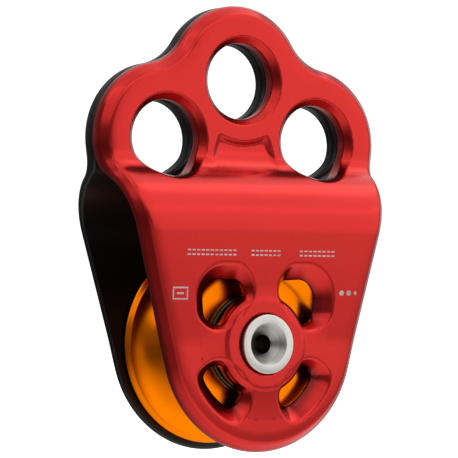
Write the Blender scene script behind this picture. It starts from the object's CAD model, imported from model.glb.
import bpy
import math
import numpy as np
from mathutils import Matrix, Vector


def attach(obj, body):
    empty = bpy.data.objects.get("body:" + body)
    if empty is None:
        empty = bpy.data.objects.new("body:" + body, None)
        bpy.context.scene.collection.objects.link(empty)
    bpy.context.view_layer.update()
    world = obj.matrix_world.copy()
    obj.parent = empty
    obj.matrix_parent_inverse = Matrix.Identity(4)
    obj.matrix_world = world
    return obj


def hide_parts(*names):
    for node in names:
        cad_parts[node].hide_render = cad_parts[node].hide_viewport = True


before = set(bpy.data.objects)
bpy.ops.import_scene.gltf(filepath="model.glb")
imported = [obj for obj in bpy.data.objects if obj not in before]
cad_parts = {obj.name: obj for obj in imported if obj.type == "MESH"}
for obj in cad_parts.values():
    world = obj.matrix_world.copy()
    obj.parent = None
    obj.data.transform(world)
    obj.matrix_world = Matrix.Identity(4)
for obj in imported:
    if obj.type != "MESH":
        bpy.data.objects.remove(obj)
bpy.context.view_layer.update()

MM = 0.001
DZ = 67.1           # the axle is this far below the row's origin, the top eye


def row(x, y, z):
    """Axle-centred millimetres to the row frame in metres."""
    return Vector((x * MM, y * MM, (z - DZ) * MM))


# ------------------------------------------------------------------------------------------
# plane geometry: signed distances to loops of tangent arcs and lines
# ------------------------------------------------------------------------------------------
def arc3(p, m, q, sgn):
    """Arc through three points. sgn +1: outside is beyond the radius. -1: outside is towards the centre."""
    ax, ay = p; bx, by = m; cx, cy = q
    d = 2 * (ax * (by - cy) + bx * (cy - ay) + cx * (ay - by))
    ux = ((ax * ax + ay * ay) * (by - cy) + (bx * bx + by * by) * (cy - ay) + (cx * cx + cy * cy) * (ay - by)) / d
    uy = ((ax * ax + ay * ay) * (cx - bx) + (bx * bx + by * by) * (ax - cx) + (cx * cx + cy * cy) * (bx - ax)) / d
    R = math.hypot(ax - ux, ay - uy)
    am = math.atan2(by - uy, bx - ux)
    a0 = math.atan2(ay - uy, ax - ux)
    half = abs((a0 - am + math.pi) % (2 * math.pi) - math.pi)
    return ("A", ux, uy, R, am, half, sgn)


def line2(p, q, inside):
    """Straight run from p to q. inside is a point on the material's side."""
    dx, dy = q[0] - p[0], q[1] - p[1]
    L = math.hypot(dx, dy)
    nx, ny = dy / L, -dx / L
    if (inside[0] - p[0]) * nx + (inside[1] - p[1]) * ny > 0:
        nx, ny = -nx, -ny
    return ("L", p[0], p[1], dx / L, dy / L, L, nx, ny)


def dist(px, py, prims, open_ends=False):
    best = np.full(px.shape, 1e6)
    val = np.full(px.shape, 6.0)
    for k, pr in enumerate(prims):
        if pr[0] == "A":
            _, ux, uy, R, am, half, sgn = pr
            dx, dy = px - ux, py - uy
            ang = np.arctan2(dy, dx) - am
            ang = np.abs((ang + np.pi) % (2 * np.pi) - np.pi)
            d = (np.hypot(dx, dy) - R) * sgn
            ok = ang <= half + 1e-5
        else:
            _, x0, y0, tx, ty, L, nx, ny = pr
            t = (px - x0) * tx + (py - y0) * ty
            d = (px - x0) * nx + (py - y0) * ny
            lo, hi = -1e-5, L + 1e-5
            if open_ends and k == 0:
                lo = -1e6
            if open_ends and k == len(prims) - 1:
                hi = 1e6
            ok = (t >= lo) & (t <= hi)
        better = ok & (np.abs(d) < best)
        best = np.where(better, np.abs(d), best)
        val = np.where(better, d, val)
    return val


def smax(a, b, k):
    h = np.maximum(k - np.abs(a - b), 0.0) / k
    return np.maximum(a, b) + h * h * k * 0.25


def smin(a, b, k):
    return -smax(-a, -b, k)


def rmax(a, b, ra, rb):
    """Intersection with an elliptical round: ra deep on a, rb wide on b."""
    u, v = a / ra, b / rb
    f = np.minimum(np.maximum(u, v), -1.0) + np.hypot(np.maximum(u + 1, 0), np.maximum(v + 1, 0))
    return f * ra


def ease(x, lo, hi):
    t = np.clip((x - lo) / (hi - lo), 0, 1)
    return t * t * (3 - 2 * t)


# --- the cheek plates' dimensions -------------------------------------------------------------
r_bottom, z_foot, r_lobe, r_between = 28.2, 0.85, 19.4, 14.0
top_eye, side_eye = (0.0, 67.1), (22.3, 51.9)
r_eye = 9.75
s_bulge, z_bulge, r_sh, r_sh_in, sh_deg = 16.95, 29.0, 17.2, 13.3, 58.0
r_neck, r_neck_in, s_split = 6.7, 6.0, 0.2
lean, z_bend, r_bend = math.radians(2.95), 2.3, 60.0


def outline_prims():
    tx, tz = top_eye
    sx, sz = side_eye
    base = math.atan2(sx, sz - z_foot)
    tilt = base - math.asin((r_bottom - r_lobe) / math.hypot(sx, sz - z_foot))
    n = (math.cos(tilt), -math.sin(tilt))
    foot = (r_bottom * n[0], z_foot + r_bottom * n[1])
    l0 = (sx + r_lobe * n[0], sz + r_lobe * n[1])
    half = math.hypot(sx - tx, sz - tz) / 2
    ux, uz = (tz - sz) / (2 * half), (sx - tx) / (2 * half)
    h = math.sqrt((r_lobe + r_between) ** 2 - half ** 2)
    bx, bz = (sx + tx) / 2 + ux * h, (sz + tz) / 2 + uz * h
    k = r_lobe / (r_lobe + r_between)
    q1 = (sx + (bx - sx) * k, sz + (bz - sz) * k)
    q2 = (tx + (bx - tx) * k, tz + (bz - tz) * k)
    qm = (bx - ux * r_between, bz - uz * r_between)
    a0, a1 = math.atan2(l0[1] - sz, l0[0] - sx), math.atan2(q1[1] - sz, q1[0] - sx)
    am = (a0 + a1) / 2
    lm = (sx + r_lobe * math.cos(am), sz + r_lobe * math.sin(am))
    return [
        arc3((-foot[0], foot[1]), (0, z_foot - r_bottom), foot, 1),
        line2(foot, l0, (0, 20)),
        arc3(l0, lm, q1, 1),
        arc3(q1, qm, q2, -1),
        arc3((-q2[0], q2[1]), (tx, tz + r_lobe), q2, 1),
    ]


def window_prims(upper):
    r_in, r_out = 12.7, 18.95
    rm, hw = (r_in + r_out) / 2, (r_out - r_in) / 2
    a0, a1 = (math.radians(29.0), math.radians(60.0)) if upper else (math.radians(31.0), math.radians(57.5))

    def pol(r, a):
        return (r * math.cos(a), r * math.sin(a))

    am = (a0 + a1) / 2
    prims = [arc3(pol(r_in, a1), pol(r_in, am), pol(r_in, a0), -1)]
    c0, c1 = pol(rm, a0), pol(rm, a1)
    if not upper:
        prims.append(arc3(pol(r_in, a0), (c0[0] + hw * math.sin(a0), c0[1] - hw * math.cos(a0)), pol(r_out, a0), 1))
        prims.append(arc3(pol(r_out, a0), pol(r_out, am), pol(r_out, a1), 1))
        prims.append(arc3(pol(r_out, a1), (c1[0] - hw * math.sin(a1), c1[1] + hw * math.cos(a1)), pol(r_in, a1), 1))
        return prims
    l = math.hypot(0.10, 1); d0 = (0.10 / l, 1 / l)
    l = math.hypot(1, 0.04); d1 = (1 / l, 0.04 / l)
    n0, n1 = (d0[1], -d0[0]), (-d1[1], d1[0])
    A = (c0[0] + n0[0] * hw, c0[1] + n0[1] * hw)
    B = (c1[0] + n1[0] * hw, c1[1] + n1[1] * hw)
    den = d0[0] * d1[1] - d0[1] * d1[0]
    t = ((B[0] - A[0]) * d1[1] - (B[1] - A[1]) * d1[0]) / den
    K = (A[0] + d0[0] * t, A[1] + d0[1] * t)
    rc = 5.4
    u, w = (-d0[0], -d0[1]), (-d1[0], -d1[1])
    ang = math.acos(u[0] * w[0] + u[1] * w[1])
    tl = rc / math.tan(ang / 2)
    E = (K[0] + u[0] * tl, K[1] + u[1] * tl)
    Fp = (K[0] + w[0] * tl, K[1] + w[1] * tl)
    s = (u[0] + w[0], u[1] + w[1]); sl = math.hypot(*s)
    C = (K[0] + s[0] / sl * rc / math.sin(ang / 2), K[1] + s[1] / sl * rc / math.sin(ang / 2))
    kc = (K[0] - C[0], K[1] - C[1]); kl = math.hypot(*kc)
    M = (C[0] + kc[0] / kl * rc, C[1] + kc[1] / kl * rc)

    def capmid(c, p, q, tang):
        v = (p[0] + q[0] - 2 * c[0], p[1] + q[1] - 2 * c[1])
        vl = math.hypot(*v)
        v = (v[0] / vl, v[1] / vl)
        if v[0] * tang[0] + v[1] * tang[1] < 0:
            v = (-v[0], -v[1])
        return (c[0] + v[0] * hw, c[1] + v[1] * hw)

    i0, i1 = pol(r_in, a0), pol(r_in, a1)
    m0 = capmid(c0, i0, A, (math.sin(a0), -math.cos(a0)))
    m1 = capmid(c1, i1, B, (-math.sin(a1), math.cos(a1)))
    mid = pol(rm, am)
    prims += [arc3(i0, m0, A, 1), line2(A, E, mid), arc3(E, M, Fp, 1), line2(Fp, B, mid), arc3(B, m1, i1, 1)]
    return prims


def profile_prims():
    """Outer, inner and recessed side profiles in (z, s), s being the distance from the mid-plane."""
    a, b = math.radians(sh_deg), lean
    cz, cs = z_bulge, s_bulge - r_sh

    def sh(r, phi):
        return (cz + r * math.sin(phi), cs + r * math.cos(phi))

    z1, s1 = sh(r_sh, -b)
    s2 = s1 - (z1 - z_bend) * math.tan(b)
    z3, s3 = z_bend - r_bend * math.sin(b), s2 - r_bend * (1 - math.cos(b))

    def bend(r, zc, sc, phi):
        return (zc + r * math.sin(phi), sc + r * (1 - math.cos(phi)))

    nz, ns = cz + (r_sh + r_neck) * math.sin(a), cs + (r_sh + r_neck) * math.cos(a)

    def neck(phi):
        return (nz - r_neck * math.sin(phi), ns - r_neck * math.cos(phi))

    s_top = ns - r_neck
    out = [
        line2((z3 - 40, s3), (z3, s3), (z3, s3 - 5)),
        arc3((z3, s3), bend(r_bend, z3, s3, b / 2), (z_bend, s2), -1),
        line2((z_bend, s2), (z1, s1), (z1, s1 - 5)),
        arc3((z1, s1), sh(r_sh, (a - b) / 2), sh(r_sh, a), 1),
        arc3(sh(r_sh, a), neck(a / 2), neck(0), -1),
        line2(neck(0), (nz + 40, s_top), (nz, s_top - 5)),
    ]
    ds = r_neck_in * (1 - math.cos(a))
    ez, es = sh(r_sh_in, a)
    fs = s_split + ds
    fz = ez + (es - fs) / math.tan(a)
    gz = fz + r_neck_in * math.sin(a)

    def neck_in(phi):
        return (gz - r_neck_in * math.sin(phi), s_split + r_neck_in * (1 - math.cos(phi)))

    z1i, s1i = sh(r_sh_in, -b)
    t = s_bulge - (cs + r_sh_in)
    z_bi = z_bend - t * math.sin(b)
    s2i = s1i - (z1i - z_bi) * math.tan(b)
    rb = r_bend + t
    z3i, s3i = z_bi - rb * math.sin(b), s2i - rb * (1 - math.cos(b))
    inn = [
        line2((z3i - 40, s3i), (z3i, s3i), (z3i, s3i + 5)),
        arc3((z3i, s3i), bend(rb, z3i, s3i, b / 2), (z_bi, s2i), 1),
        line2((z_bi, s2i), (z1i, s1i), (z1i, s1i + 5)),
        arc3((z1i, s1i), sh(r_sh_in, (a - b) / 2), (ez, es), -1),
        line2((ez, es), (fz, fs), (fz + 2, fs + 2)),
        arc3((fz, fs), neck_in(a / 2), (gz, s_split), 1),
        line2((gz, s_split), (gz + 60, s_split), (gz, s_split + 5)),
    ]
    z0, s0 = sh(r_sh, a)
    s_floor = s_top - 0.9
    r = (s0 - s_floor) / (1 - math.cos(a))
    ze = z0 + r * math.sin(a)
    rec = out[:4] + [
        arc3((z0, s0), (ze - r * math.sin(a / 2), s_floor + r * (1 - math.cos(a / 2))), (ze, s_floor), -1),
        line2((ze, s_floor), (ze + 40, s_floor), (ze, s_floor - 5)),
    ]
    return out, inn, rec, s_top


OUTLINE = outline_prims()
WIN_UP, WIN_LOW = window_prims(True), window_prims(False)
P_OUT, P_IN, P_REC, S_TOP = profile_prims()

RIM, RIM_SHALLOW, RIM_RISE = 2.5, 3.6, 0.16
POCKET, POCKET_EASE, POCKET_SLOPE = 3.9, 1.1, 0.86
ARM, WINDOW_IN = 2.0, 0.7
RAMP = 0.10
S_BOSS, S_CBORE = 16.1, 15.2
EYE_CONE = 1.75


def outline_field(x, z):
    return dist(np.abs(x), z, OUTLINE)


def window_field(x, z):
    ax = np.abs(x)
    return np.minimum(dist(ax, z, WIN_UP), dist(ax, -z, WIN_LOW))


def recess_field(x, z):
    """Flared flanks and a top side that follows the top eye's ring."""
    ax = np.abs(x)
    f = math.atan2(4.3, 12.6)
    flank = (ax - 7.3) * math.cos(f) + (z - 54.6) * math.sin(f)
    top = 15.2 - np.hypot(x - top_eye[0], z - top_eye[1])
    return smax(flank, smax(top, z - 54.6, 0.8), 1.6)


def side_eye_fields(x, z):
    return [np.hypot(x - cx, z - cz) - r_eye for cx, cz in (top_eye, side_eye, (-side_eye[0], side_eye[1]))]


def plate_field(x, s, z, parts=None):
    """Signed distance-like field of a cheek plate. Every argument is in axle-centred millimetres."""
    if parts is None:
        parts = [outline_field(x, z), window_field(x, z), recess_field(x, z), side_eye_fields(x, z),
                 dist(z, s, P_OUT), dist(z, s, P_IN), dist(z, s, P_REC)]
    o, w, rho, eyes, a, ai, ar = parts
    m = 1 - ease(rho, -1.7, 0.15)
    a = a + (ar - a) * m
    r = np.hypot(x, z)
    a = smin(a, s - (S_BOSS - 0.22 - RAMP * np.maximum(r - 11.3, 0) - 2 * np.maximum(r - 19, 0)), 0.7)
    arm = 1 - ease(np.minimum(np.abs(x), np.abs(z)), 3.0, 8.5)
    t = np.maximum(POCKET - w - ARM * arm, 0)
    drop = np.where(t < POCKET_EASE, POCKET_SLOPE * t * t / (2 * POCKET_EASE), POCKET_SLOPE * (t - POCKET_EASE / 2))
    a2 = a + np.minimum(drop, 4.0)
    bevel = smax(a2, (a2 + (o + RIM_SHALLOW) * RIM_RISE) * 0.987, 0.3)
    f = smax(smax(bevel, (a2 + o + RIM) * 0.7071, 0.35), o, 0.7)
    f = np.maximum(f, rmax(ai, o, 0.8, 0.8))
    hole = w + WINDOW_IN * ease(r, 13.2, 15.6)
    f = smax(f, -hole, 0.28)
    boss = smax(smax(s - S_BOSS, (r - 11.25 + (s - S_BOSS)) * 0.7071, 0.5), r - 12.45, 0.3)
    boss = np.maximum(boss, 12.5 - s)
    f = smin(f, boss, 0.6)
    inner = smax(smax(r - 10.4, 9.0 - s, 0.4), s - 13.0, 0.2)
    f = smin(f, inner, 0.5)
    f = smax(f, 7.06 - r, 0.25)
    f = smax(f, smin(7.74 - r, s - S_CBORE, 0.1), 0.22)
    for e in eyes:
        f = smax(f, -e, 0.3)
        f = smax(f, (a + EYE_CONE - 1.0 * (1 - ease(z, 42.5, 48.0)) - e) * 0.7071, 0.18)
        f = smax(f, (ai + 0.95 - e) * 0.7071, 0.35)
    return f


def surface_nets(f, origin, h):
    """Dual mesh of the zero surface of a sampled field."""
    inside = f < 0
    nx, ny, nz = f.shape
    c = np.zeros((nx - 1, ny - 1, nz - 1), np.int8)
    for i in (0, 1):
        for j in (0, 1):
            for k in (0, 1):
                c += inside[i:nx - 1 + i, j:ny - 1 + j, k:nz - 1 + k]
    active = (c > 0) & (c < 8)
    idx = np.full(active.shape, -1, np.int64)
    ii, jj, kk = np.nonzero(active)
    n = len(ii)
    idx[ii, jj, kk] = np.arange(n)
    acc = np.zeros((n, 3)); cnt = np.zeros(n)
    corners = [(i, j, k) for i in (0, 1) for j in (0, 1) for k in (0, 1)]
    for p in corners:
        for ax in range(3):
            if p[ax] == 1:
                continue
            q = list(p); q[ax] = 1
            fa = f[ii + p[0], jj + p[1], kk + p[2]]
            fb = f[ii + q[0], jj + q[1], kk + q[2]]
            cross = (fa < 0) != (fb < 0)
            t = np.where(cross, fa / np.where(cross, fa - fb, 1), 0)
            for d in range(3):
                v = p[d] + (t if d == ax else 0)
                acc[:, d] += np.where(cross, v, 0)
            cnt += cross
    v = acc / cnt[:, None]
    v[:, 0] += ii; v[:, 1] += jj; v[:, 2] += kk
    v = v * h + np.array(origin)
    quads = []
    for ax in range(3):
        sl_a = [slice(None)] * 3; sl_b = [slice(None)] * 3
        sl_a[ax] = slice(0, -1); sl_b[ax] = slice(1, None)
        A, B = inside[tuple(sl_a)], inside[tuple(sl_b)]
        u, w = (ax + 1) % 3, (ax + 2) % 3
        e = np.nonzero(A != B)
        e = np.stack(e, 1)
        keep = (e[:, u] > 0) & (e[:, w] > 0) & (e[:, u] < f.shape[u] - 1) & (e[:, w] < f.shape[w] - 1)
        e = e[keep]
        flip = ~A[e[:, 0], e[:, 1], e[:, 2]]
        q = []
        for du, dw in ((1, 1), (0, 1), (0, 0), (1, 0)):
            t = e.copy()
            t[:, u] -= du; t[:, w] -= dw
            q.append(idx[t[:, 0], t[:, 1], t[:, 2]])
        q = np.stack(q, 1)
        q[flip] = q[flip][:, ::-1]
        quads.append(q)
    return v, np.concatenate(quads)


def gradient(v, eps=0.02):
    g = np.zeros_like(v)
    for d in range(3):
        a, b = v.copy(), v.copy()
        a[:, d] += eps; b[:, d] -= eps
        g[:, d] = (plate_field(a[:, 0], a[:, 1], a[:, 2]) - plate_field(b[:, 0], b[:, 1], b[:, 2])) / (2 * eps)
    return g


def build_plate():
    h = 0.42
    xs = np.arange(-42.6, 42.61, h); xs = xs - (xs[0] + xs[-1]) / 2
    ss = np.arange(-0.9, 17.6, h)
    zs = np.arange(-28.3, 87.6, h)
    X, Z = np.meshgrid(xs, zs, indexing="ij")
    ZZ, SS = np.meshgrid(zs, ss, indexing="ij")
    o, w, rho, eyes = outline_field(X, Z), window_field(X, Z), recess_field(X, Z), side_eye_fields(X, Z)
    a, ai, ar = dist(ZZ, SS, P_OUT), dist(ZZ, SS, P_IN), dist(ZZ, SS, P_REC)

    def xz(q):
        return q[:, None, :].astype(np.float32)

    def zs3(q):
        return q.T[None, :, :].astype(np.float32)

    f = plate_field(xs[:, None, None], ss[None, :, None], zs[None, None, :],
                    [xz(o), xz(w), xz(rho), [xz(e) for e in eyes], zs3(a), zs3(ai), zs3(ar)])
    v, q = surface_nets(np.asarray(f), (xs[0], ss[0], zs[0]), h)

    def project(v, steps):
        for _ in range(steps):
            g = gradient(v)
            val = plate_field(v[:, 0], v[:, 1], v[:, 2])
            g2 = np.maximum((g * g).sum(1), 0.05)
            step = -(val / g2)[:, None] * g
            ln = np.linalg.norm(step, axis=1)
            v = v + step * np.minimum(1, 0.5 * h / np.maximum(ln, 1e-9))[:, None]
        return v

    v = project(v, 2)
    ed = np.concatenate([q[:, [0, 1]], q[:, [1, 2]], q[:, [2, 3]], q[:, [3, 0]]])
    n = len(v)
    deg = np.bincount(ed[:, 0], minlength=n) + np.bincount(ed[:, 1], minlength=n)
    for _ in range(3):
        avg = np.stack([np.bincount(ed[:, 0], v[ed[:, 1], d], n) + np.bincount(ed[:, 1], v[ed[:, 0], d], n) for d in range(3)], 1) / deg[:, None]
        g = gradient(v)
        g /= np.maximum(np.linalg.norm(g, axis=1), 1e-9)[:, None]
        mv = avg - v
        mv -= (mv * g).sum(1)[:, None] * g
        v = project(v + 0.6 * mv, 1)
    v = project(v, 1)
    g = gradient(v, 0.05)
    g /= np.maximum(np.linalg.norm(g, axis=1), 1e-9)[:, None]
    return v, q, g


def mesh_object(name, verts, faces, mat, normals=None, smooth=True):
    me = bpy.data.meshes.new(name)
    if isinstance(faces, np.ndarray):
        nf, k = faces.shape
        me.vertices.add(len(verts)); me.vertices.foreach_set("co", np.asarray(verts, np.float32).ravel())
        me.loops.add(nf * k); me.loops.foreach_set("vertex_index", faces.ravel().astype(np.int32))
        me.polygons.add(nf); me.polygons.foreach_set("loop_start", np.arange(0, nf * k, k, dtype=np.int32))
        me.update(calc_edges=True)
    else:
        me.from_pydata([tuple(p) for p in verts], [], faces)
    me.validate()
    me.materials.append(mat)
    me.polygons.foreach_set("use_smooth", [smooth] * len(me.polygons))
    if normals is not None:
        me.normals_split_custom_set_from_vertices([tuple(x) for x in normals])
    me.update()
    ob = bpy.data.objects.new(name, me)
    bpy.context.scene.collection.objects.link(ob)
    return ob


# ------------------------------------------------------------------------------------------
# materials
# ------------------------------------------------------------------------------------------
class Mat:
    """Small node builder. Noise runs in object space, in metres."""

    def __init__(self, name):
        self.m = bpy.data.materials.new(name)
        self.m.use_nodes = True
        self.t = self.m.node_tree
        self.t.nodes.clear()
        self.out = self.n("ShaderNodeOutputMaterial")
        self.b = self.n("ShaderNodeBsdfPrincipled")
        self.l(self.b, "BSDF", self.out, "Surface")
        self.co = self.n("ShaderNodeTexCoord")

    def n(self, kind, **k):
        nd = self.t.nodes.new(kind)
        for a, v in k.items():
            setattr(nd, a, v)
        return nd

    def l(self, a, ao, b, bi):
        self.t.links.new(a.outputs[ao], b.inputs[bi])

    def set(self, **k):
        for a, v in k.items():
            self.b.inputs[a.replace("_", " ")].default_value = v

    def noise(self, scale, detail=3.0, rough=0.5, src=None, dist=0.0):
        nd = self.n("ShaderNodeTexNoise")
        nd.inputs["Scale"].default_value = scale
        nd.inputs["Detail"].default_value = detail
        nd.inputs["Roughness"].default_value = rough
        nd.inputs["Distortion"].default_value = dist
        if src is None:
            self.l(self.co, "Object", nd, "Vector")
        else:
            self.t.links.new(src, nd.inputs["Vector"])
        return nd

    def ramp(self, src, stops):
        nd = self.n("ShaderNodeValToRGB")
        el = nd.color_ramp.elements
        while len(el) > 1:
            el.remove(el[-1])
        el[0].position, el[0].color = stops[0][0], stops[0][1]
        for p, c in stops[1:]:
            e = el.new(p); e.color = c
        self.t.links.new(src, nd.inputs["Fac"])
        return nd

    def mr(self, src, a, b, c, d):
        nd = self.n("ShaderNodeMapRange")
        for i, v in zip((1, 2, 3, 4), (a, b, c, d)):
            nd.inputs[i].default_value = v
        self.t.links.new(src, nd.inputs[0])
        return nd.outputs[0]

    def math(self, op, a, b=None):
        nd = self.n("ShaderNodeMath", operation=op)
        for i, v in enumerate((a, b)):
            if v is None:
                continue
            if isinstance(v, (int, float)):
                nd.inputs[i].default_value = v
            else:
                self.t.links.new(v, nd.inputs[i])
        return nd.outputs[0]

    def mix(self, fac, a, b):
        nd = self.n("ShaderNodeMix", data_type="RGBA")
        for sock, v in ((nd.inputs[0], fac), (nd.inputs[6], a), (nd.inputs[7], b)):
            if isinstance(v, (int, float, tuple)):
                sock.default_value = v
            else:
                self.t.links.new(v, sock)
        return nd.outputs[2]

    def bump(self, src, strength, distance):
        nd = self.n("ShaderNodeBump")
        nd.inputs["Strength"].default_value = strength
        nd.inputs["Distance"].default_value = distance
        self.t.links.new(src, nd.inputs["Height"])
        self.l(nd, "Normal", self.b, "Normal")
        return nd

    def radial(self):
        """Distance from the axle's line, in metres, and the position along it."""
        sep = self.n("ShaderNodeSeparateXYZ")
        self.l(self.co, "Object", sep, "Vector")
        z = self.math("ADD", sep.outputs["Z"], DZ * MM)
        r = self.math("SQRT", self.math("ADD", self.math("MULTIPLY", sep.outputs["X"], sep.outputs["X"]), self.math("MULTIPLY", z, z)))
        return r, sep.outputs["Y"]


def anodised(name, base, deep, rough, coat, coat_rough, metallic=1.0, speck=0.0):
    """Dyed anodised forging: a fine bead-blasted grain under a slightly uneven sealed layer, with faint handling marks."""
    m = Mat(name)
    cloud = m.noise(38.0, 4.0, 0.55)
    grain = m.noise(5200.0, 2.0, 0.6)
    scuff = m.noise(420.0, 5.0, 0.62, dist=0.6)
    fac = m.mr(cloud.outputs["Fac"], 0.3, 0.7, 0.0, 1.0)
    col = m.mix(fac, deep, base)
    # the inner faces and the windows' walls were dyed but never polished, and read darker
    sep = m.n("ShaderNodeSeparateXYZ")
    m.l(m.co, "Object", sep, "Vector")
    outer = m.math("MAXIMUM", m.mr(m.math("ABSOLUTE", sep.outputs["Y"]), 0.0122, 0.0142, 0.0, 1.0), m.mr(sep.outputs["Z"], -0.044, -0.040, 0.0, 1.0))
    col = m.mix(outer, tuple(c * 0.30 for c in deep[:3]) + (1,), col)
    m.t.links.new(col, m.b.inputs["Base Color"])
    ro = m.math("ADD", m.mr(cloud.outputs["Fac"], 0.3, 0.7, rough - 0.03, rough + 0.03), m.mr(scuff.outputs["Fac"], 0.55, 0.8, 0.0, 0.04))
    ro = m.math("ADD", ro, m.mr(grain.outputs["Fac"], 0.3, 0.7, -0.02, 0.02))
    m.t.links.new(ro, m.b.inputs["Roughness"])
    m.bump(grain.outputs["Fac"], 0.10, 0.00004)
    m.set(Metallic=metallic, IOR=1.6)
    m.b.inputs["Coat Weight"].default_value = coat
    m.b.inputs["Coat Roughness"].default_value = coat_rough
    m.b.inputs["Coat IOR"].default_value = 1.6
    return m.m


def turned(name, base, dark, rough, metallic=1.0, pitch=0.00022, depth=0.000012, aniso=0.0, coat=0.0, even=1.0):
    """Lathe-turned metal: fine rings about the axle, with a little streaking round them."""
    m = Mat(name)
    r, y = m.radial()
    rings = m.n("ShaderNodeCombineXYZ")
    m.t.links.new(m.math("MULTIPLY", r, 1.0 / pitch), rings.inputs[0])
    m.t.links.new(m.math("MULTIPLY", y, 1.0 / pitch), rings.inputs[1])
    ring = m.noise(1.0, 3.0, 0.6, src=rings.outputs[0])
    wide = m.n("ShaderNodeCombineXYZ")
    m.t.links.new(m.math("MULTIPLY", r, 0.16 / pitch), wide.inputs[0])
    m.t.links.new(m.math("MULTIPLY", y, 0.16 / pitch), wide.inputs[1])
    band = m.noise(1.0, 2.0, 0.5, src=wide.outputs[0])
    blot = m.noise(260.0, 3.0, 0.5)
    fac = m.math("ADD", m.mr(ring.outputs["Fac"], 0.3, 0.7, 0.0, 0.5), m.mr(band.outputs["Fac"], 0.3, 0.7, 0.0, 0.5))
    col = m.mix(fac, dark, base)
    # the countersink keeps its tool rings and reads greyer than the faced end
    cone = m.mix(fac, tuple(c * 0.42 for c in base[:3]) + (1,), tuple(c * 0.80 for c in base[:3]) + (1,))
    col = m.mix(m.mr(r, 0.0053, 0.00542, 0.0, 1.0), cone, col)
    # the drilled bore was left dark
    col = m.mix(m.mr(r, 0.00241, 0.0026, 0.0, 1.0), tuple(c * 0.7 for c in dark[:3]) + (1,), col)
    m.t.links.new(col, m.b.inputs["Base Color"])
    ro = m.math("ADD", m.mr(band.outputs["Fac"], 0.3, 0.7, rough - 0.05 * even, rough + 0.05 * even), m.mr(blot.outputs["Fac"], 0.4, 0.7, -0.02 * even, 0.04 * even))
    m.t.links.new(ro, m.b.inputs["Roughness"])
    m.bump(ring.outputs["Fac"], 0.5, depth)
    m.set(Metallic=metallic, IOR=1.55)
    if aniso:
        tan = m.n("ShaderNodeTangent", direction_type="RADIAL", axis="Y")
        m.l(tan, "Tangent", m.b, "Tangent")
        m.b.inputs["Anisotropic"].default_value = aniso
    if coat:
        m.b.inputs["Coat Weight"].default_value = coat
        m.b.inputs["Coat Roughness"].default_value = 0.12
    return m.m


def moulded(name, base, rough, spec=0.4):
    m = Mat(name)
    fine = m.noise(2600.0, 3.0, 0.6)
    cloud = m.noise(300.0, 3.0, 0.5)
    dark = tuple(c * 0.7 for c in base[:3]) + (1,)
    m.t.links.new(m.mix(m.mr(cloud.outputs["Fac"], 0.35, 0.65, 0, 1), dark, base), m.b.inputs["Base Color"])
    m.t.links.new(m.mr(fine.outputs["Fac"], 0.3, 0.7, rough - 0.06, rough + 0.08), m.b.inputs["Roughness"])
    m.bump(fine.outputs["Fac"], 0.2, 0.00003)
    m.b.inputs["Specular IOR Level"].default_value = spec
    return m.m


RED = anodised("red_anodised", (0.63, 0.015, 0.010, 1), (0.57, 0.011, 0.007, 1), 0.26, 0.62, 0.24)
BLACK = anodised("black_anodised", (0.022, 0.022, 0.024, 1), (0.014, 0.014, 0.015, 1), 0.42, 0.35, 0.30, metallic=0.55)
ORANGE = turned("orange_anodised", (1.0, 0.26, 0.0, 1), (0.97, 0.24, 0.0, 1), 0.24, pitch=0.00030, depth=0.0000005, even=0.3)
STEEL = turned("turned_steel", (0.80, 0.78, 0.74, 1), (0.62, 0.60, 0.55, 1), 0.33, pitch=0.00034, depth=0.00006, aniso=0.6)
GROUND = turned("ground_steel", (0.55, 0.55, 0.56, 1), (0.42, 0.42, 0.43, 1), 0.24, pitch=0.00012, depth=0.000004)
CAP = moulded("cap_polymer", (0.045, 0.030, 0.024, 1), 0.20, spec=0.7)
POLISHED = turned("polished_balls", (0.75, 0.75, 0.76, 1), (0.68, 0.68, 0.69, 1), 0.1, pitch=0.0004, depth=0.000001)
SEAL = moulded("seal_rubber", (0.018, 0.017, 0.017, 1), 0.5)
CAGE = moulded("cage_polymer", (0.23, 0.19, 0.12, 1), 0.45)
WASHER = moulded("washer_polymer", (0.05, 0.05, 0.05, 1), 0.42)
MARK = moulded("laser_mark", (0.66, 0.56, 0.55, 1), 0.55)

for node, ob in ((n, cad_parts[n]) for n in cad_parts):
    mat = None
    if "race" in node or "spacer" in node:
        mat = GROUND
    elif "balls" in node:
        mat = POLISHED
    elif "cage" in node:
        mat = CAGE
    elif "seal" in node:
        mat = SEAL
    elif "cap" in node:
        mat = CAP
    elif "washer" in node:
        mat = WASHER
    if mat is not None:
        if ob.material_slots:
            for sl in ob.material_slots:
                sl.material = mat
        else:
            ob.data.materials.append(mat)

# ------------------------------------------------------------------------------------------
# cheek plates
# ------------------------------------------------------------------------------------------
pv, pq, pn = build_plate()


def place(sign):
    v = np.empty_like(pv)
    v[:, 0] = pv[:, 0] * MM
    v[:, 1] = sign * pv[:, 1] * MM
    v[:, 2] = (pv[:, 2] - DZ) * MM
    n = pn.copy()
    n[:, 1] *= sign
    q = pq if sign > 0 else pq[:, ::-1]
    return v, np.ascontiguousarray(q), n


for sign, node, name, mat, body in ((-1, "front_cheek_plate", "front_cheek_forging", RED, "front_side"),
                                    (1, "rear_cheek_plate", "rear_cheek_forging", BLACK, "rear_side")):
    v, q, n = place(sign)
    ob = mesh_object(name, v, q, mat, n)
    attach(ob, body)
    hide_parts(node)


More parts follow.
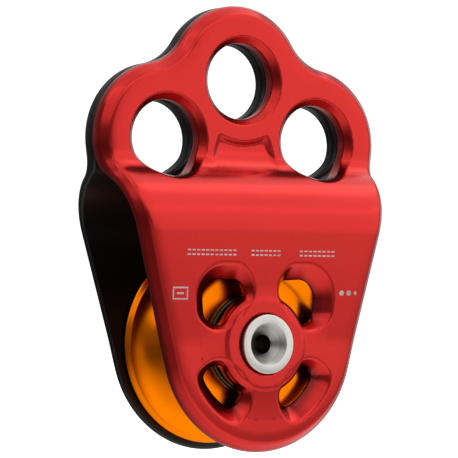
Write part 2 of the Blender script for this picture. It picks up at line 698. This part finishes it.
# ------------------------------------------------------------------------------------------
# lathe work about the axle
# ------------------------------------------------------------------------------------------
def soften(pts, radii, steps=4):
    """Rounds the corners of a closed profile."""
    out = []
    n = len(pts)
    for i in range(n):
        p = Vector(pts[i]); a = Vector(pts[i - 1]) - p; b = Vector(pts[(i + 1) % n]) - p
        r = radii[i]
        if r <= 0 or a.length < 1e-9 or b.length < 1e-9:
            out.append(tuple(p)); continue
        ang = a.angle(b)
        t = min(r / math.tan(ang / 2), a.length * 0.48, b.length * 0.48)
        r = t * math.tan(ang / 2)
        a.normalize(); b.normalize()
        c = p + (a + b).normalized() * (r / math.sin(ang / 2))
        p0, p1 = p + a * t - c, p + b * t - c
        th = p0.angle(p1)
        for k in range(steps + 1):
            f = k / steps
            w = (p0 * math.sin((1 - f) * th) + p1 * math.sin(f * th)) / math.sin(th) if th > 1e-6 else p0
            out.append(tuple(c + w))
    return out


def lathe(name, prof, segs, mat):
    """Closed solid from a closed (radius, y) loop in millimetres, wound counter-clockwise or not."""
    n = len(prof)
    ang = np.arange(segs) * 2 * np.pi / segs
    P = np.array(prof)
    v = np.empty((segs, n, 3))
    v[:, :, 0] = np.cos(ang)[:, None] * P[None, :, 0] * MM
    v[:, :, 1] = P[None, :, 1] * MM
    v[:, :, 2] = (np.sin(ang)[:, None] * P[None, :, 0] - DZ) * MM
    i, j = np.meshgrid(np.arange(segs), np.arange(n), indexing="ij")
    i2, j2 = (i + 1) % segs, (j + 1) % n
    q = np.stack([i * n + j, i * n + j2, i2 * n + j2, i2 * n + j], -1).reshape(-1, 4)
    area = sum(P[k][0] * P[(k + 1) % n][1] - P[(k + 1) % n][0] * P[k][1] for k in range(n))
    if area < 0:
        q = q[:, ::-1]
    ob = mesh_object(name, v.reshape(-1, 3), np.ascontiguousarray(q), mat)
    return ob


def autosmooth(ob, deg=28):
    me = ob.data
    me.update()
    import bmesh
    bm = bmesh.new(); bm.from_mesh(me)
    for e in bm.edges:
        if len(e.link_faces) == 2:
            e.smooth = e.calc_face_angle(0) < math.radians(deg)
    bm.to_mesh(me); bm.free()
    for p in me.polygons:
        p.use_smooth = True


def sheave_profile():
    r_tread, r_groove, s_lip = 17.5, 9.6, 9.2
    cc = r_tread + r_groove
    a_end = math.asin(s_lip / r_groove)
    half = []
    steps = 26
    groove = [(cc - r_groove * math.cos(a), r_groove * math.sin(a)) for a in np.linspace(-a_end, a_end, 2 * steps + 1)]
    r_end = groove[0][0]
    side = [(24.4, 9.45, .25), (25.25, 10.1, .3), (25.6, 10.45, .25), (25.6, 10.85, .25), (25.25, 11.2, .3), (22.4, 11.2, 2.0), (19.3, 8.8, 3.2),
            (12.0, 8.8, 0), (12.0, 2.0, 0), (10.9, 2.0, .2)]
    pts = [(r, y) for r, y in groove] + [(r, y) for r, y, _ in side] + [(r, -y) for r, y, _ in reversed(side)]
    rad = [0] * len(groove) + [q for _, _, q in side] + [q for _, _, q in reversed(side)]
    rad[0] = rad[len(groove) - 1] = 0.0
    return soften(pts, rad)


sheave = lathe("sheave_turning", sheave_profile(), 200, ORANGE)
autosmooth(sheave)
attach(sheave, "sheave_group")
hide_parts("sheave")


def axle_profile():
    half = [(2.4, 14.45, .12), (5.4, 17.4, .12), (7.5, 17.4, .28), (7.5, 15.26, .05), (7.0, 15.26, 0), (7.0, 8.97, 0), (7.5, 8.97, 0)]
    pts = [(r, y) for r, y, _ in half] + [(r, -y) for r, y, _ in reversed(half)]
    rad = [q for _, _, q in half] + [q for _, _, q in reversed(half)]
    return soften(pts, rad)


axle = lathe("axle_turning", axle_profile(), 160, STEEL)
autosmooth(axle, 20)
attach(axle, "rear_side")
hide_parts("axle")


# ------------------------------------------------------------------------------------------
# plain, wordless laser marks on the front cheek
# ------------------------------------------------------------------------------------------
def face_s(z):
    z1 = z_bulge - r_sh * math.sin(lean)
    cs = s_bulge - r_sh
    if z > z1:
        return cs + math.sqrt(r_sh ** 2 - (z - z_bulge) ** 2)
    s1 = cs + r_sh * math.cos(lean)
    return s1 - (z1 - z) * math.tan(lean)


def mark_mesh(name, shapes):
    """Thin pads laid on the front face. Each shape is a closed loop of (x, z)."""
    verts, faces = [], []
    for loop in shapes:
        k = len(loop)
        b = len(verts)
        for x, z in loop:
            verts.append(row(x, -(face_s(z) + 0.012), z))
        for x, z in loop:
            verts.append(row(x, -(face_s(z) - 0.05), z))
        faces.append(list(range(b, b + k)))
        faces.append(list(range(b + 2 * k - 1, b + k - 1, -1)))
        for i in range(k):
            j = (i + 1) % k
            faces.append([b + i, b + k + i, b + k + j, b + j])
    me = bpy.data.meshes.new(name)
    me.from_pydata([tuple(v) for v in verts], [], faces)
    me.validate()
    me.materials.append(MARK)
    import bmesh
    bm = bmesh.new(); bm.from_mesh(me)
    bmesh.ops.recalc_face_normals(bm, faces=bm.faces)
    bm.to_mesh(me); bm.free()
    ob = bpy.data.objects.new(name, me)
    bpy.context.scene.collection.objects.link(ob)
    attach(ob, "front_side")
    return ob


def bar(x0, x1, z0, z1):
    return [(x0, z0), (x1, z0), (x1, z1), (x0, z1)]


dashes = []
for x0, x1 in ((-23.7, -9.0), (-4.9, 4.2), (9.6, 20.7)):
    n = max(3, round((x1 - x0) / 1.35))
    step = (x1 - x0) / n
    for i in range(n):
        dashes.append(bar(x0 + i * step + 0.18, x0 + (i + 1) * step - 0.22, 22.2, 22.6))
        dashes.append(bar(x0 + i * step + 0.18, x0 + (i + 1) * step - 0.22, 23.3, 23.7))
mark_mesh("front_mark_rows", dashes)


def ring_loop(cx, cz, r, n=28):
    return [(cx + r * math.cos(2 * math.pi * i / n), cz + r * math.sin(2 * math.pi * i / n)) for i in range(n)]


pads = [bar(-27.6, -23.1, 13.9, 14.3), bar(-27.6, -23.1, 11.1, 11.5), bar(-27.6, -27.2, 11.6, 13.8), bar(-23.5, -23.1, 11.6, 13.8), bar(-26.4, -24.3, 12.45, 12.95)]
pads += [ring_loop(23.0, 13.0, 0.7), ring_loop(25.2, 13.0, 0.7), ring_loop(27.2, 13.0, 0.45)]
mark_mesh("front_mark_blocks", pads)

# ------------------------------------------------------------------------------------------
# studio
# ------------------------------------------------------------------------------------------
AZ, EL = math.radians(-32.45), math.radians(-1.79)
back = Vector((math.sin(AZ) * math.cos(EL), -math.cos(AZ) * math.cos(EL), math.sin(EL)))
cam_data = bpy.data.cameras.new("camera")
cam_data.lens, cam_data.sensor_width = 244.05, 36.0
cam_data.clip_start, cam_data.clip_end = 0.05, 30.0
cam = bpy.data.objects.new("camera", cam_data)
bpy.context.scene.collection.objects.link(cam)
cam.location = row(-427.50, -671.00, 4.57)
cam.rotation_mode = "QUATERNION"
cam.rotation_quaternion = (-back).to_track_quat("-Z", "Y")
bpy.context.scene.camera = cam

WORLD_LEFT, WORLD_RIGHT, WORLD_BACK = 0.20, 0.44, 0.18
bpy.context.scene.view_settings.view_transform = "Standard"
bpy.context.scene.view_settings.look = "Medium High Contrast"

floor_me = bpy.data.meshes.new("floor")
fz = (-27.2 - DZ - 68.0) * MM
floor_me.from_pydata([(-6, -6, fz), (6, -6, fz), (6, 6, fz), (-6, 6, fz)], [], [[0, 1, 2, 3]])
floor = bpy.data.objects.new("floor", floor_me)
bpy.context.scene.collection.objects.link(floor)
fm = Mat("floor_white")
fn = fm.noise(3.0, 2.0)
fm.t.links.new(fm.mix(fm.mr(fn.outputs["Fac"], 0.3, 0.7, 0, 1), (0.90, 0.90, 0.90, 1), (0.92, 0.92, 0.92, 1)), fm.b.inputs["Base Color"])
fm.set(Roughness=0.9)
fm.b.inputs["Specular IOR Level"].default_value = 0.1
fm.b.inputs["Emission Color"].default_value = (1, 1, 1, 1)
fm.b.inputs["Emission Strength"].default_value = 1.0
# what the metal sees of the floor: bright towards the panels, dim on the far left
fsep = fm.n("ShaderNodeSeparateXYZ")
fm.l(fm.co, "Object", fsep, "Vector")
lean_x = fm.math("SUBTRACT", fm.math("MULTIPLY", fsep.outputs["X"], 0.80), fm.math("MULTIPLY", fsep.outputs["Y"], 0.60))
fe = fm.n("ShaderNodeEmission")
far = fm.math("SQRT", fm.math("ADD", fm.math("MULTIPLY", fsep.outputs["X"], fsep.outputs["X"]), fm.math("MULTIPLY", fsep.outputs["Y"], fsep.outputs["Y"])))
fm.t.links.new(fm.math("MULTIPLY", fm.mr(lean_x, -0.12, 0.03, 0.26, 0.92), fm.mr(far, 0.13, 0.34, 1.0, 0.45)), fe.inputs["Strength"])
fl, fx = fm.n("ShaderNodeLightPath"), fm.n("ShaderNodeMixShader")
fm.t.links.new(fl.outputs["Is Camera Ray"], fx.inputs[0])
fm.t.links.new(fe.outputs[0], fx.inputs[1])
fm.t.links.new(fm.b.outputs[0], fx.inputs[2])
fm.t.links.new(fx.outputs[0], fm.out.inputs["Surface"])
floor_me.materials.append(fm.m)

world = bpy.data.worlds.new("studio")
bpy.context.scene.world = world
world.use_nodes = True
wt = world.node_tree
wt.nodes.clear()


def wn(kind, **k):
    nd = wt.nodes.new(kind)
    for a, v in k.items():
        setattr(nd, a, v)
    return nd


wo, seen, lit, lp, mx = wn("ShaderNodeOutputWorld"), wn("ShaderNodeBackground"), wn("ShaderNodeBackground"), wn("ShaderNodeLightPath"), wn("ShaderNodeMixShader")
seen.inputs["Color"].default_value = (1.0, 1.0, 1.0, 1)
seen.inputs["Strength"].default_value = 1.0
lit.inputs["Color"].default_value = (1.0, 1.0, 1.0, 1)
tc, sp, mr = wn("ShaderNodeTexCoord"), wn("ShaderNodeSeparateXYZ"), wn("ShaderNodeMapRange")
wt.links.new(tc.outputs["Generated"], sp.inputs[0])
wt.links.new(sp.outputs["X"], mr.inputs[0])
for i, v in zip((1, 2, 3, 4), (-0.3, 0.6, WORLD_LEFT, WORLD_RIGHT)):
    mr.inputs[i].default_value = v
# the white sweep straight behind the object shows only in glancing reflections
fwd = wn("ShaderNodeVectorMath", operation="DOT_PRODUCT")
wt.links.new(tc.outputs["Generated"], fwd.inputs[0])
fwd.inputs[1].default_value = (0.537, 0.844, 0.0)
glow, both = wn("ShaderNodeMapRange"), wn("ShaderNodeMath", operation="ADD")
wt.links.new(fwd.outputs["Value"], glow.inputs[0])
for i, v in zip((1, 2, 3, 4), (0.60, 0.95, 0.0, WORLD_BACK)):
    glow.inputs[i].default_value = v
wt.links.new(mr.outputs[0], both.inputs[0])
wt.links.new(glow.outputs[0], both.inputs[1])
wt.links.new(both.outputs[0], lit.inputs["Strength"])
wt.links.new(lp.outputs["Is Camera Ray"], mx.inputs[0])
wt.links.new(lit.outputs[0], mx.inputs[1])
wt.links.new(seen.outputs[0], mx.inputs[2])
wt.links.new(mx.outputs[0], wo.inputs[0])


def area(name, pos, target, size, power, size_y=None):
    d = bpy.data.lights.new(name, "AREA")
    d.energy = power
    d.shape = "RECTANGLE"
    d.size = size
    d.size_y = size_y or size
    o = bpy.data.objects.new(name, d)
    bpy.context.scene.collection.objects.link(o)
    o.location = pos
    o.rotation_mode = "QUATERNION"
    o.rotation_quaternion = (Vector(target) - Vector(pos)).to_track_quat("-Z", "Y")
    return o


C = Vector((0, 0, -0.045))


def soft(name, az, el, dist_m, wide, high, radiance):
    """Softbox seen from the object at an azimuth (0 is the front, positive to the right) and elevation, with a given radiance."""
    a, e = math.radians(az), math.radians(el)
    d = Vector((math.sin(a) * math.cos(e), -math.cos(a) * math.cos(e), math.sin(e)))
    return area(name, C + d * dist_m, C, wide, radiance * math.pi * wide * high, high)


soft("right_panel", 41, -2, 1.3, 1.10, 0.55, 0.63)
soft("mid_panel", 43, 20, 1.3, 1.30, 0.46, 0.61)
soft("key_panel", 40, 46, 1.2, 1.7, 0.80, 0.66)
soft("left_top_panel", -41, 41, 1.2, 1.40, 0.96, 0.58)
soft("overhead", 0, 97, 1.2, 2.4, 1.4, 0.60)
